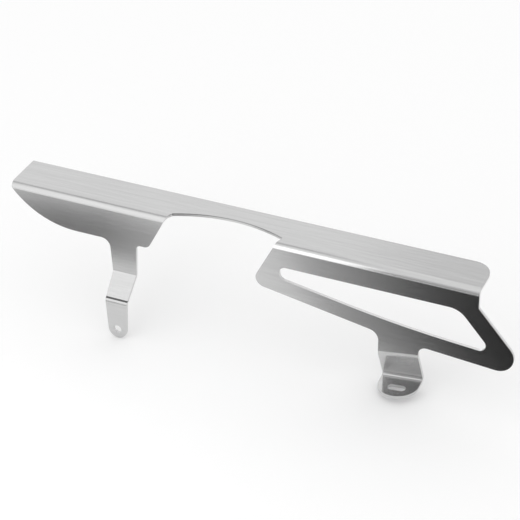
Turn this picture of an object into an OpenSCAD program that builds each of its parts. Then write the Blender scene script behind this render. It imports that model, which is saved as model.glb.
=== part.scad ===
// Motorcycle chain guard: one laser-cut sheet, folded along one long bend.
// A flat top flange lies over the upper chain run. Two panels hang from its outer edge,
// with an open arc between them. The front panel carries a joggled leg with a bolt hole,
// the rear panel is a window frame with a cranked tab that ends in a slotted foot.
//
// Directions: X runs along the long bend towards the rear wheel, Y points inwards to the
// wheel, Z points up. The origin is the centre of the front bolt hole, on the inner face
// of the leg, where the leg bears on the swingarm.

/* [Sheet] */
// Thickness of the sheet
sheet_t = 2.5; // [1.5:0.1:3.5]
// Inside radius of the long bend
bend_r = 3; // [2:0.25:5]

/* [Top flange] */
// Length of the flange along the bend
guard_len = 400; // [385:5:440]
// Width of the flange, from the outer face of the panels to the back edge
flange_w = 37; // [30:0.5:50]
// Radius of the back corner at the rear end
rear_corner_r = 15; // [5:0.5:20]
// Radius of the back corner at the front end
front_corner_r = 1; // [0.5:0.25:5]

/* [Arc cut between the panels] */
// Place of the cut's front edge, where the front panel meets the long bend
cut_front = 137; // [132:0.5:142]
// Place of the cut's rear edge, where the rear panel meets the long bend
cut_rear = 231.5; // [228:0.5:236]
// Slant of both edges of the cut away from square
cut_slant = 27.5; // [15:0.5:30]
// Radius of the arc in the flange
cut_arc_r = 116.5; // [100:0.5:140]
// Place of the arc's deepest point along the bend
cut_arc_x = 190.4; // [186:0.1:194]
// Reach of the arc into the flange, from the outer face of the panels
cut_arc_y = 18.8; // [16:0.1:22]
// Radius in the two corners of the arc
cut_corner_r = 1.5; // [0.5:0.25:2]

/* [Front panel] */
// Height of the front panel, from the top face to its lower edge
front_h = 33; // [28:0.5:40]
// Height from the top face down to where the lower edge reaches the front end
front_end_h = 4.5; // [3:0.5:12]
// Length of the curved lower edge at the front end
sweep_len = 58; // [45:1:65]
// Radius of the lower corner at the cut
front_panel_r = 6; // [2:0.5:8]
// Radius between the lower edge and the front of the leg
leg_front_fillet_r = 8; // [4:0.5:12]
// Radius between the lower edge and the back of the leg
leg_rear_fillet_r = 4; // [2:0.5:5]

/* [Leg] */
// Place of the leg's axis along the bend
leg_x = 100; // [95:0.5:101]
// Width of the leg where it leaves the panel
leg_w = 24; // [20:0.5:26]
// Radius of the leg's round end
leg_tip_r = 8.2; // [7:0.1:9.5]
// Height from the top face down to the upper fold of the joggle, on the outer face
joggle_z = 63; // [60:0.5:68]
// Distance by which the leg's lower part stands outwards
joggle_out = 17.5; // [12:0.5:20]
// Angle of the joggle from the upright
joggle_angle = 45; // [35:1:50]
// Inside radius of the joggle's folds
joggle_r = 2; // [1:0.25:4]
// Height from the top face down to the centre of the bolt hole
leg_hole_z = 107.7; // [104:0.1:115]
// Diameter of the bolt hole
leg_hole_d = 7; // [5:0.1:9]

/* [Rear panel] */
// Height from the top face down to the front lower corner of the rear panel
rail_front_z = 41.4; // [38:0.2:46]
// Distance from the rear end of the flange forward to the knee in the lower edge
rail_knee = 66.2; // [55:0.2:75]
// Slope of the lower edge ahead of the tab, in degrees
rail_slope_front = 10; // [8:0.1:11.5]
// Slope of the lower edge behind the tab, in degrees
rail_slope_rear = 4.4; // [3:0.1:6]
// Radius of the front lower corner
rail_corner_r = 8; // [3:0.5:10]
// Radius of the tail, where the rail meets the strut
tail_r = 13.2; // [9:0.2:15]
// Slope of the strut, in degrees
strut_slope = 49.5; // [46:0.5:54]
// Height from the top face down to the kink above the strut
strut_kink_z = 16; // [12:0.5:20]
// Radius of the kink
strut_kink_r = 2; // [0.5:0.25:4]

/* [Window] */
// Height from the top face down to the window's upper edge
window_z = 20.8; // [18:0.2:24]
// Place of the window's front end along the bend
window_front_x = 237.2; // [235:0.2:245]
// Width of the rail under the window
rail_w = 13.4; // [11:0.1:15]
// Width of the strut behind the window
strut_w = 14.6; // [12:0.1:17]
// Radius of the two front corners
window_front_r = 5.5; // [3:0.1:5.8]
// Radius of the upper rear corner
window_top_r = 17.5; // [10:0.5:20]
// Radius of the lower rear corner
window_tail_r = 5.5; // [3:0.1:8]
// Radius of the slight curve in the middle of the lower edge
window_knee_r = 900; // [300:50:1000]

/* [Tab] */
// Distance from the rear end of the flange forward to the tab's axis
tab_back = 62.7; // [60:0.1:66]
// Width of the tab
tab_w = 33; // [28:0.2:36]
// Radius between the rail and the front of the tab
tab_front_fillet_r = 9; // [5:0.5:12]
// Radius between the rail and the back of the tab
tab_rear_fillet_r = 6.5; // [4:0.5:9]
// Height from the top face down to the crank, on the tab's axis
crank_z = 77.7; // [76.5:0.1:84]
// Rise of the crank's fold towards the rear, in degrees
crank_rise = 9.7; // [0:0.1:10]
// Angle by which the tab is cranked inwards
crank_angle = 25; // [14:0.5:26]
// Inside radius of the crank
crank_r = 8; // [3:0.5:12]
// Length of the cranked part, from the crank to the foot's top face, on the tab's axis
crank_len = 33.3; // [26:0.1:36]

/* [Foot] */
// Angle on the sheet between the crank's fold and the foot's fold
foot_turn = 6.3; // [3:0.1:10]
// Inside radius of the foot's bend
foot_bend_r = 2; // [1.5:0.25:3]
// Reach of the foot, from the tab's outer face to the round edge
foot_len = 27; // [24:0.2:30]
// Length of the slot
slot_len = 15; // [12:0.5:18]
// Width of the slot
slot_w = 7; // [5:0.1:8]
// Distance from the round edge to the slot's middle
slot_edge = 11.2; // [9:0.2:13]

/* [Hidden] */
$fn = 128;
big_fn = 360;
over = 1;
// how far a flat runs into the fold that it joins
lap = 0.02;
// place on the foot, from its fold, from which its sides follow its own direction
foot_start = 4;
// height above the foot's fold where the side cuts of the tab and of the foot meet
foot_clear = 4.5;

bend_out_r = bend_r + sheet_t;
// length of the long bend's middle layer, which the slanted edges cross on the flat sheet
bend_run = (bend_r + sheet_t/2)*PI/2;
slant = tan(cut_slant);

// Plane vectors and lines

function unit(v) = v/norm(v);
function left_of(v) = [-v[1], v[0]];
function toward(angle) = [cos(angle), sin(angle)];
// to the nearest thousandth, so that pieces drawn apart meet in the same points
function tidy(v) = [for (k = v) round(k*1000)/1000];
// the point where the line through p along u meets the line through q along v
function meet(p, u, q, v) = p + u*(((q - p)*left_of(v))/(u*left_of(v)));
// the point where the line from p along u leaves the circle of radius r about c
function leave(p, u, c, r) =
    let (run = (c - p)*u, off = (c - p)*left_of(u)) p + u*(run + sqrt(r*r - off*off));

// Round corners

// What lies between a sharp corner at p and the arc in it, with a margin past both sides.
// It is cut from an outer corner, or added to an inner one. u and v point along the sides.
// The arc reaches a hair past the sides, so that it ends cleanly on them.
module corner_piece(p, u, v, r) {
    half = acos(u*v)/2;
    c = unit(u + v)*r/sin(half);
    run = r/tan(half);
    grow = (r + over)/r;
    translate(p) difference() {
        polygon([c, c + grow*(run*u - c), (1 - grow)*c, c + grow*(run*v - c)]);
        translate(c) circle(r + max(0.0002, r*0.000003), $fn = big_fn);
    }
}

// Outline with round corners: each point is [x, y, radius], anticlockwise.
module round_outline(given) {
    pts = [for (p = given) tidy(p)];
    n = len(pts);
    corners = [for (i = [0 : n - 1]) if (pts[i][2] > 0)
        let (p = [pts[i][0], pts[i][1]], a = pts[(i + n - 1) % n], b = pts[(i + 1) % n],
             u = unit([a[0], a[1]] - p), v = unit([b[0], b[1]] - p))
        [p, u, v, pts[i][2], u*left_of(v) > 0]];
    difference() {
        union() {
            polygon([for (p = pts) [p[0], p[1]]]);
            for (c = corners) if (!c[4]) corner_piece(c[0], c[1], c[2], c[3]);
        }
        for (c = corners) if (c[4]) corner_piece(c[0], c[1], c[2], c[3]);
    }
}

// What is cut from a strip to round its end: c is the arc's centre, t1 and t2 point from it
// to the strip's sides, and the strip runs out along ahead.
module end_piece(c, t1, t2, ahead) {
    r = norm(t1);
    grow = (r + over)/r;
    translate(c) difference() {
        polygon([[0, 0], grow*t1, grow*t1 + 2*r*ahead, grow*t2 + 2*r*ahead, grow*t2]);
        circle(r + 0.001);
    }
}

// Sheet pieces

// prism along Y, its outline drawn in X and Z
module along_y(from, to) {
    translate([0, to, 0]) rotate([90, 0, 0]) linear_extrude(to - from) children();
}

// prism along X, its outline drawn in Y and Z
module along_x(from, to) {
    translate([from, 0, 0]) rotate([90, 0, 90]) linear_extrude(to - from) children();
}

// The long bend and the flange

// wedge between the slanted edges of the cut, where they wind around the long bend
module bend_cut() {
    steps = 8;
    rings = [for (i = [-1 : steps + 1])
        let (share = i/steps, dir = toward(180 - 90*share), shift = slant*bend_run*share)
        [for (side = [[cut_front, bend_r - over], [cut_front, bend_out_r + over],
                      [cut_rear, bend_out_r + over], [cut_rear, bend_r - over]])
            [side[0] + shift, bend_out_r + side[1]*dir[0], -bend_out_r + side[1]*dir[1]]]];
    last = len(rings) - 1;
    polyhedron([for (ring = rings) each ring],
        concat([[0, 1, 2, 3]], [[for (k = [3 : -1 : 0]) 4*last + k]],
            [for (i = [0 : last - 1], k = [0 : 3])
                let (a = 4*i + k, b = 4*i + (k + 1) % 4) each [[a, a + 4, b], [b, a + 4, b + 4]]]));
}

module long_bend() {
    difference() {
        along_x(0, guard_len) intersection() {
            translate([bend_out_r, -bend_out_r]) difference() {
                circle(bend_out_r);
                circle(bend_r);
            }
            translate([-over, -bend_out_r]) square(bend_out_r + over);
        }
        bend_cut();
        along_y(-over, bend_out_r + over) sweep_cut();
    }
}

// arc cut in the flange, between the slanted edges, with small radii in its corners
module arc_cut() {
    arc_c = [cut_arc_x, cut_arc_y - cut_arc_r];
    edge = unit([slant, 1]);
    far = cut_arc_y + over;
    feet = [for (x = [cut_front, cut_rear]) [x + slant*bend_run, bend_out_r]];
    difference() {
        intersection() {
            translate(arc_c) circle(cut_arc_r, $fn = big_fn);
            polygon([feet[0], feet[1], feet[1] + far*edge, feet[0] + far*edge]);
        }
        for (side = [0, 1]) {
            inward = (side == 0 ? -1 : 1)*left_of(edge);
            c = leave(feet[side] + inward*cut_corner_r, edge, arc_c, cut_arc_r - cut_corner_r);
            tip = leave(feet[side], edge, arc_c, cut_arc_r);
            out = unit(c - arc_c);
            translate(c) difference() {
                polygon([[0, 0], -2*cut_corner_r*inward, 3*(tip - c), 2*cut_corner_r*out]);
                circle(cut_corner_r + 0.001);
            }
        }
    }
}

module flange() {
    translate([0, 0, -sheet_t]) linear_extrude(sheet_t) difference() {
        round_outline([[0, bend_out_r, 0], [guard_len, bend_out_r, 0],
                       [guard_len, flange_w, rear_corner_r], [0, flange_w, front_corner_r]]);
        arc_cut();
    }
}

// The front panel and its leg

leg_hole = [leg_x, -leg_hole_z];

// from the hole to where the leg's side meets the round end, side -1 in front, 1 behind
function leg_touch(side) =
    let (d = [leg_w/2, leg_hole_z - front_h], lean = atan2(d[0], d[1]))
    leg_tip_r*toward(90 - side*(lean + acos(leg_tip_r/norm(d))));
function leg_top(side) = [leg_x + side*leg_w/2, -front_h];

// section through the panel and the leg, with the two opposite folds of the joggle
module leg_section() {
    outer = [[0, -joggle_z], [-joggle_out, -joggle_z - joggle_out/tan(joggle_angle)]];
    miter = [sheet_t, -sheet_t*tan(joggle_angle/2)];
    top = over - bend_out_r;
    bottom = -leg_hole_z - leg_tip_r - 2*over;
    round_outline([
        [0, top, 0],
        [each outer[0], joggle_r],
        [each outer[1], joggle_r + sheet_t],
        [-joggle_out, bottom, 0],
        [sheet_t - joggle_out, bottom, 0],
        [each outer[1] + miter, joggle_r],
        [each outer[0] + miter, joggle_r + sheet_t],
        [sheet_t, top, 0]]);
}

// front view of what the curved lower edge cuts away at the front end
module sweep_cut() {
    sweep_drop = front_h - front_end_h;
    sweep_r = (sweep_len*sweep_len + sweep_drop*sweep_drop)/(2*sweep_drop);
    translate([sweep_len, sweep_r - front_h]) difference() {
        translate([-sweep_len - over, -sweep_r - over])
            square([sweep_len + over, sweep_drop + over]);
        circle(sweep_r + 0.001, $fn = big_fn);
    }
}

// front view of the panel and the leg
module front_outline() {
    edge_foot = [cut_front, -bend_out_r];
    leg_end = [0, -leg_hole_z - leg_tip_r - over];
    low = [for (side = [-1, 1])
        meet(leg_top(side), leg_hole + leg_touch(side) - leg_top(side), leg_end, [1, 0])];
    difference() {
        round_outline([
            [0, -bend_out_r, 0],
            [0, -front_h, 0],
            [each leg_top(-1), leg_front_fillet_r],
            [each low[0], 0],
            [each low[1], 0],
            [each leg_top(1), leg_rear_fillet_r],
            [each meet(edge_foot, [slant, 1], [0, -front_h], [1, 0]), front_panel_r],
            [each edge_foot, 0]]);
        sweep_cut();
        end_piece(leg_hole, leg_touch(-1), leg_touch(1), [0, -1]);
        translate(leg_hole) circle(d = leg_hole_d);
    }
}

module front_side() {
    intersection() {
        along_x(-over, cut_front + over) leg_section();
        along_y(-joggle_out - over, sheet_t + over) front_outline();
    }
}

// The rear panel: window frame with a tab

along_front_rail = toward(-rail_slope_front);
along_rear_rail = toward(-rail_slope_rear);
down_strut = toward(-strut_slope);
rear_edge_foot = [cut_rear, -bend_out_r];
rail_low = meet(rear_edge_foot, [slant, 1], [0, -rail_front_z], [1, 0]);
knee = meet(rail_low, along_front_rail, [guard_len - rail_knee, 0], [0, 1]);
kink = [guard_len, -strut_kink_z];
tab_x = guard_len - tab_back;
tab_side = [tab_x - tab_w/2, tab_x + tab_w/2];
along_crank = toward(crank_rise);

module window() {
    front_low = rail_low + rail_w*left_of(along_front_rail);
    rear_low = knee + rail_w*left_of(along_rear_rail);
    strut_in = kink - strut_w*left_of(down_strut);
    top = [window_front_x, -window_z];
    round_outline([
        [each top, window_front_r],
        [each meet(top, [0, 1], front_low, along_front_rail), window_front_r],
        [each meet(front_low, along_front_rail, rear_low, along_rear_rail), window_knee_r],
        [each meet(rear_low, along_rear_rail, strut_in, down_strut), window_tail_r],
        [each meet(strut_in, down_strut, top, [1, 0]), window_top_r]]);
}

module rear_panel() {
    tab_end = [tab_x, -crank_z] + lap*left_of(along_crank);
    along_y(0, sheet_t) difference() {
        round_outline([
            [each rear_edge_foot, 0],
            [each rail_low, rail_corner_r],
            [each meet(rail_low, along_front_rail, [tab_side[0], 0], [0, 1]), tab_front_fillet_r],
            [each meet(tab_end, along_crank, [tab_side[0], 0], [0, 1]), 0],
            [each meet(tab_end, along_crank, [tab_side[1], 0], [0, 1]), 0],
            [each meet(knee, along_rear_rail, [tab_side[1], 0], [0, 1]), tab_rear_fillet_r],
            [each meet(knee, along_rear_rail, kink, down_strut), tail_r],
            [each kink, strut_kink_r],
            [guard_len, -bend_out_r, 0]]);
        window();
    }
}

// The crank and the foot

// places a part on the crank's fold line, with X along the fold
module at_crank() {
    translate([tab_x, 0, -crank_z]) rotate([0, -crank_rise, 0]) children();
}

// places a part in the cranked part, with X along the foot's fold, and the same for a vector
module in_cranked() {
    at_crank() rotate([crank_angle, 0, 0]) rotate([0, foot_turn, 0]) children();
}
function about_x(v, a) = [v[0], v[1]*cos(a) - v[2]*sin(a), v[1]*sin(a) + v[2]*cos(a)];
function about_y(v, a) = [v[0]*cos(a) + v[2]*sin(a), v[1], v[2]*cos(a) - v[0]*sin(a)];
function cranked(v) = about_y(about_x(about_y(v, foot_turn), crank_angle), -crank_rise);

// the foot's fold, and the point of it on the tab's axis
foot_fold = cranked([1, 0, 0]);
foot_deep = cranked([0, 0, -crank_len]);
foot_heel = [tab_x, 0, -crank_z] + foot_deep - foot_fold*foot_deep[0]/foot_fold[0];
foot_split = tidy([foot_heel[2] + foot_clear])[0];

// section through the cranked part and the foot, from above the crank to past the foot's edge
module foot_section() {
    open = 90 - crank_angle;
    heel = [0, -crank_len];
    miter = [sheet_t, -sheet_t/tan(open/2)];
    ahead = (foot_len + 3*over)*toward(90 + open);
    rise = tab_w/2;
    round_outline([
        [0, rise, 0],
        [each heel, foot_bend_r],
        [each heel + ahead, 0],
        [each heel + ahead - sheet_t*toward(open), 0],
        [each heel + miter, foot_bend_r + sheet_t],
        [sheet_t, rise, 0]]);
}

// top view of the foot and of the bend behind it
module foot_outline() {
    skew = atan2(foot_fold[1], foot_fold[0]);
    back = tab_w;
    round_r = tab_w/2;
    start = [foot_heel[0], foot_heel[1] - foot_start];
    reach = foot_len - foot_start;
    ahead = toward(skew - 90);
    side = round_r*toward(skew);
    c = start + (reach - round_r)*ahead;
    difference() {
        polygon([[tab_side[0], back], [tab_side[0], start[1]], c - side + 2*round_r*ahead,
                 c + side + 2*round_r*ahead, [tab_side[1], start[1]], [tab_side[1], back]]);
        end_piece(c, -side, side, ahead);
        translate(start + (reach - slot_edge)*ahead) rotate(skew) slot();
    }
}

module slot() {
    half = (slot_len - slot_w)/2;
    square([2*half, slot_w], center = true);
    for (side = [-1, 1]) translate([side*half, 0]) circle(d = slot_w);
}

module cranked_foot() {
    difference() {
        intersection() {
            in_cranked() along_x(-tab_w, tab_w) foot_section();
            union() {
                translate([tab_side[0], -tab_w, foot_split - lap]) cube([tab_w, 2*tab_w, 2*crank_len]);
                translate([0, 0, foot_split - tab_w]) linear_extrude(tab_w) foot_outline();
            }
        }
        at_crank() {
            translate([-tab_w, -tab_w, -crank_len/2]) cube([2*tab_w, tab_w, tab_w]);
            translate([-tab_w, -tab_w, over]) cube(2*tab_w);
        }
    }
}

// the two radii of the crank: one cut from its outer side, one filled in on its inner side
module crank_corner(outer) {
    along_x(-tab_w, tab_w) corner_piece(outer ? [0, 0] : sheet_t*[1, tan(crank_angle/2)],
        [0, 1], toward(crank_angle - 90), outer ? crank_r + sheet_t : crank_r);
}

module rear_side() {
    difference() {
        union() {
            rear_panel();
            cranked_foot();
            intersection() {
                at_crank() crank_corner(false);
                translate([tab_side[0], 0, -crank_z - tab_w]) cube([tab_w, 2*sheet_t, 2*tab_w]);
            }
        }
        at_crank() crank_corner(true);
    }
}

module chain_guard() {
    color("silver") translate([-leg_x, joggle_out - sheet_t, leg_hole_z]) {
        flange();
        long_bend();
        front_side();
        rear_side();
    }
}

chain_guard();
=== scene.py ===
from math import pi

import bpy
from mathutils import Matrix, Vector


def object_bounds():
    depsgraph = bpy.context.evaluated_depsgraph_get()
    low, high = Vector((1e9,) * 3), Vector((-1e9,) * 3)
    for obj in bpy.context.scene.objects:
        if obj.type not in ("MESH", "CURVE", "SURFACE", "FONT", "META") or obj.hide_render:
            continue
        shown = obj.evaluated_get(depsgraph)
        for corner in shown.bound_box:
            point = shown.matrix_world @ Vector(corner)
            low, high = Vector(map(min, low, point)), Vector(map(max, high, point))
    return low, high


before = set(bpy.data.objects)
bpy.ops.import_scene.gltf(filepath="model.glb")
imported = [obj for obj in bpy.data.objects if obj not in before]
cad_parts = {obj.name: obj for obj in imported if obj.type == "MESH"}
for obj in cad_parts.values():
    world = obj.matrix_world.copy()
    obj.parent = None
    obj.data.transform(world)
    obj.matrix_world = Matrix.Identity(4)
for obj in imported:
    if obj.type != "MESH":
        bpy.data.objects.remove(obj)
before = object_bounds()
lowest, highest = before[0][2], before[1][2]

# Stretches of the guard, each from and to, in metres from its front bolt hole
window_height = (0.010, 0.090)
panel_depth = (0.014, 0.060)
foot_height = (-0.010, -0.004)
rear_part = (0.100, 0.400)
flange_edge = (highest - 0.0008, highest + 0.0002)
dark_line_height = (0.0281, 0.0293)
leg_depth = (-0.0040, 0.0006)
# The upward share of a normal, on faces that look up and on faces that stand
looks_up = (0.9, 1.1)
stands = (-0.3, 0.3)


def lin(code):
    """sRGB hex code to a linear RGBA colour."""
    parts = [int(code[i:i + 2], 16) / 255 for i in (1, 3, 5)]
    return [c / 12.92 if c <= 0.04045 else ((c + 0.055) / 1.055) ** 2.4 for c in parts] + [1.0]


def add(tree, kind, settings=None, links=None, numbers=None, **values):
    """Adds one node: settings are its properties, links and values its sockets by name,
    numbers its constant sockets by place."""
    node = tree.nodes.new(kind)
    for name, value in (settings or {}).items():
        setattr(node, name, value)
    for name, value in values.items():
        node.inputs[name.replace("_", " ")].default_value = value
    for place, value in (numbers or {}).items():
        node.inputs[place].default_value = value
    for name, source in (links or {}).items():
        tree.links.new(source, node.inputs[name])
    return node


def new_material(name):
    mat = bpy.data.materials.new(name)
    mat.use_nodes = True
    mat.node_tree.nodes.clear()
    return mat, mat.node_tree


def finish_of(piece, mat):
    piece.data.materials.clear()
    piece.data.materials.append(mat)


def within(tree, *tests):
    """1 where every value lies in its stretch, otherwise 0."""
    mask = None
    for value, (least, most) in tests:
        inside = add(tree, "ShaderNodeMath", {"operation": "COMPARE"}, {0: value},
                     {1: (least + most) / 2, 2: (most - least) / 2}).outputs["Value"]
        if mask is not None:
            inside = add(tree, "ShaderNodeMath", {"operation": "MULTIPLY"},
                         {0: mask, 1: inside}).outputs["Value"]
        mask = inside
    return mask


def recoloured(tree, where, colour, code):
    """The colour, but the given code where the mask is 1."""
    mixed = add(tree, "ShaderNodeMix", {"data_type": "RGBA"}, {0: where, 6: colour}, {7: lin(code)})
    return mixed.outputs[2]


def brush_lines(tree, place, per_mm, length_mm, **values):
    """Noise drawn out along the sheet: so many lines to a millimetre across it, each so long."""
    across = 1000 * per_mm
    drawn = add(tree, "ShaderNodeMapping", links={"Vector": place},
                Scale=(1000 / length_mm, across, across))
    noise = add(tree, "ShaderNodeTexNoise", links={"Vector": drawn.outputs["Vector"]},
                Scale=1.0, **values)
    return noise.outputs["Fac"]


def lines_and_painted_light(tree, place, colour):
    """The sheet's colour with painted highlights on some cut edges, a darker line along the flange's
    cut edge and a dark line just above the leg's lower fold.
    """
    axis = add(tree, "ShaderNodeSeparateXYZ", links={"Vector": place}).outputs
    normal = add(tree, "ShaderNodeNewGeometry").outputs["True Normal"]
    upward = add(tree, "ShaderNodeSeparateXYZ", links={"Vector": normal}).outputs["Z"]
    # painted highlight: the window's up-facing cut edges are made lighter for the light they catch
    sill_highlight = within(tree, (axis["Z"], window_height), (axis["Y"], panel_depth), (upward, looks_up))
    colour = recoloured(tree, sill_highlight, colour, "#f2f2f2")
    # painted highlight: the foot's standing cut edges on the rear part are made lighter where they
    # would mirror its shadow
    foot_rim_highlight = within(tree, (axis["Z"], foot_height), (axis["X"], rear_part), (upward, stands))
    colour = recoloured(tree, foot_rim_highlight, colour, "#f2f2f2")
    # a darker line along the upper side of the flange's cut edge
    dark_rim_line = within(tree, (axis["Z"], flange_edge), (upward, stands))
    colour = recoloured(tree, dark_rim_line, colour, "#989898")
    # a dark line across the leg's outer side, just above its lower fold
    dark_fold_line = within(tree, (axis["Z"], dark_line_height), (axis["Y"], leg_depth))
    return recoloured(tree, dark_fold_line, colour, "#5c5c5c")


def brushed_aluminium():
    """Aluminium sheet brushed along its length: soft streaks, and reflections drawn out across them."""
    mat, tree = new_material("brushed_aluminium")
    place = add(tree, "ShaderNodeTexCoord").outputs["Object"]
    grain = brush_lines(tree, place, per_mm=3, length_mm=40, Detail=3.0)
    # the streaks of the brushing belt, drawn coarser than they are so that they show
    streak = brush_lines(tree, place, per_mm=0.5, length_mm=62.5, Detail=4.0, Roughness=0.7)
    tone = add(tree, "ShaderNodeValToRGB", links={"Fac": streak})
    for stop, position, grey in zip(tone.color_ramp.elements, (0.3, 0.7), ("#c8c8c8", "#d2d2d2")):
        stop.position = position
        stop.color = lin(grey)
    colour = lines_and_painted_light(tree, place, tone.outputs["Color"])
    rough = add(tree, "ShaderNodeMapRange", links={"Value": grain}, To_Min=0.15, To_Max=0.24)
    bump = add(tree, "ShaderNodeBump", links={"Height": grain}, Strength=0.1, Distance=0.0001)
    # the grain runs along X, so the reflections spread square to it
    along = add(tree, "ShaderNodeCombineXYZ", X=1.0)
    metal = add(tree, "ShaderNodeBsdfPrincipled",
                links={"Base Color": colour, "Roughness": rough.outputs["Result"],
                       "Normal": bump.outputs["Normal"], "Tangent": along.outputs["Vector"]},
                Metallic=1.0, Anisotropic=0.6, Anisotropic_Rotation=0.25)
    add(tree, "ShaderNodeOutputMaterial", links={"Surface": metal.outputs["BSDF"]})
    return mat


# The sheet itself
finish_of(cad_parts["chain_guard"], brushed_aluminium())

# Studio: pale floor and white surroundings
floor_gap = 0.0005      # keeps the floor just clear of the guard's lowest point
floor_z = lowest - floor_gap
floor_mat, tree = new_material("studio_floor")
matt = add(tree, "ShaderNodeBsdfDiffuse", Color=lin("#fcfcfc"))
add(tree, "ShaderNodeOutputMaterial", links={"Surface": matt.outputs["BSDF"]})
bpy.ops.object.select_all(action="DESELECT")
bpy.ops.mesh.primitive_plane_add(size=6, location=(0.1, 0, floor_z))
floor = bpy.context.object
floor.name = "studio_floor"
finish_of(floor, floor_mat)

world = bpy.data.worlds.new("studio")
bpy.context.scene.world = world
world.use_nodes = True
tree = world.node_tree
tree.nodes.clear()
sky = add(tree, "ShaderNodeBackground", Color=lin("#ffffff"), Strength=1.0)
add(tree, "ShaderNodeOutputWorld", links={"Surface": sky.outputs["Background"]})


def softbox(name, at, toward, width, height, glow):
    """Area lamp whose face is as bright as glow, where 1 is white."""
    data = bpy.data.lights.new(name, "AREA")
    data.shape = "RECTANGLE"
    data.size, data.size_y = width, height
    data.energy = glow * pi * width * height
    lamp = bpy.data.objects.new(name, data)
    bpy.context.collection.objects.link(lamp)
    lamp.location = at
    lamp.rotation_euler = (Vector(toward) - Vector(at)).to_track_quat("-Z", "Y").to_euler()
    lamp.visible_camera = False


def card(name, near, far, tones):
    """Glowing card beside the guard that only the metal mirrors, in place of lit matt paper as in a
    product photographer's studio: its greys are painted glow.
    near and far are its left and right corners, tones its greys by their share of its width."""
    bpy.ops.object.select_all(action="DESELECT")
    bpy.ops.mesh.primitive_plane_add(size=1)
    piece = bpy.context.object
    piece.name = name
    for vertex, corner in zip(piece.data.vertices, (*far, *near)):
        vertex.co = corner
    mat, tree = new_material(name)
    corner_map = add(tree, "ShaderNodeTexCoord").outputs["UV"]
    share = add(tree, "ShaderNodeSeparateXYZ", links={"Vector": corner_map})
    ramp = add(tree, "ShaderNodeValToRGB", links={"Fac": share.outputs["X"]})
    stops = ramp.color_ramp.elements
    for position in list(tones)[1:-1]:
        stops.new(position)
    for stop, grey in zip(stops, tones.values()):
        stop.color = lin(grey)
    # the card glows with its painted greys, standing in for lit paper
    glow = add(tree, "ShaderNodeEmission", links={"Color": ramp.outputs["Color"]}, Strength=1.0)
    add(tree, "ShaderNodeOutputMaterial", links={"Surface": glow.outputs["Emission"]})
    finish_of(piece, mat)
    piece.visible_camera = piece.visible_diffuse = piece.visible_shadow = False


# Two glowing cards, in place of lit paper, lie on the floor in front of the panels
card_gap = 0.0004      # keeps them just clear of the floor
low = floor_z + card_gap
card("left_glowing_card", near=[(-0.30, -0.070, low), (-0.02, -0.070, low)],
     far=[(-0.30, -0.140, low), (-0.02, -0.140, low)],
     tones={0.0: "#e0e0e0", 0.3: "#d0d0d0", 0.43: "#909090", 0.57: "#606060", 0.75: "#585858",
            0.86: "#8c8c8c", 1.0: "#b0b0b0"})
card("right_glowing_card", near=[(0.100, -0.042, low), (0.581, 0.020, low)],
     far=[(-0.026, -0.20, low), (0.35, -0.36, low)],
     tones={0.0: "#f4f4f4", 0.083: "#f0f0f0", 0.166: "#b8b8b8", 0.25: "#9c9c9c", 0.33: "#7c7c7c",
            0.413: "#505050", 0.5: "#303030", 0.63: "#292929", 1.0: "#232323"})
# One hangs over the front half of the guard
card("ceiling_glowing_card", near=[(-0.6, -0.17, 0.6), (0.06, -0.17, 0.6)],
     far=[(-0.6, 0.08, 0.6), (0.06, 0.08, 0.6)],
     tones={0.0: "#d8d8d8", 0.9: "#d0d0d0", 1.0: "#f0f0f0"})
# One stands before the rear panel, with its greys from the floor up
card("front_glowing_card", near=[(0.07, -0.43, 0.0), (0.07, -0.43, 0.5)],
     far=[(0.80, -0.43, 0.0), (0.80, -0.43, 0.5)],
     tones={0.0: "#a8a8a8", 0.15: "#b0b0b0", 0.42: "#c4c4c4", 0.7: "#dadada", 1.0: "#f4f4f4"})
# One stands behind the flange
card("back_glowing_card", near=[(-0.07, 0.70, 0.35), (0.43, 0.70, 0.35)],
     far=[(-0.07, 0.70, 0.95), (0.43, 0.70, 0.95)],
     tones={0.0: "#ffffff", 0.1: "#f4f4f4", 0.2: "#ececec", 1.0: "#e0e0e0"})

# The highlight on the long bend
softbox("window_light", at=(-0.008, -0.42, 0.21), toward=(0.05, 0, 0.21),
        width=0.155, height=0.42, glow=0.9)
softbox("side_light", at=(-0.24, -0.42, 0.36), toward=(-0.1, 0, 0.30),
        width=0.31, height=0.70, glow=0.24)

# Camera at the photograph's place, found from the guard's outline in it
camera_at = (0.6442, -1.1499, 0.9483)
right = (0.91528, 0.40267, -0.01095)
up = (-0.21661, 0.51491, 0.82943)
backward = (0.33962, -0.75679, 0.55851)
half_pixel = 0.5 / 520
cam_data = bpy.data.cameras.new("camera")
cam_data.lens = 136.5
cam_data.sensor_width = 36
cam_data.shift_x, cam_data.shift_y = -half_pixel, half_pixel
cam = bpy.data.objects.new("camera", cam_data)
bpy.context.collection.objects.link(cam)
turn = Matrix((right, up, backward)).transposed().to_4x4()
cam.matrix_world = Matrix.Translation(camera_at) @ turn
bpy.context.scene.camera = cam

bpy.context.scene.view_settings.view_transform = "Standard"
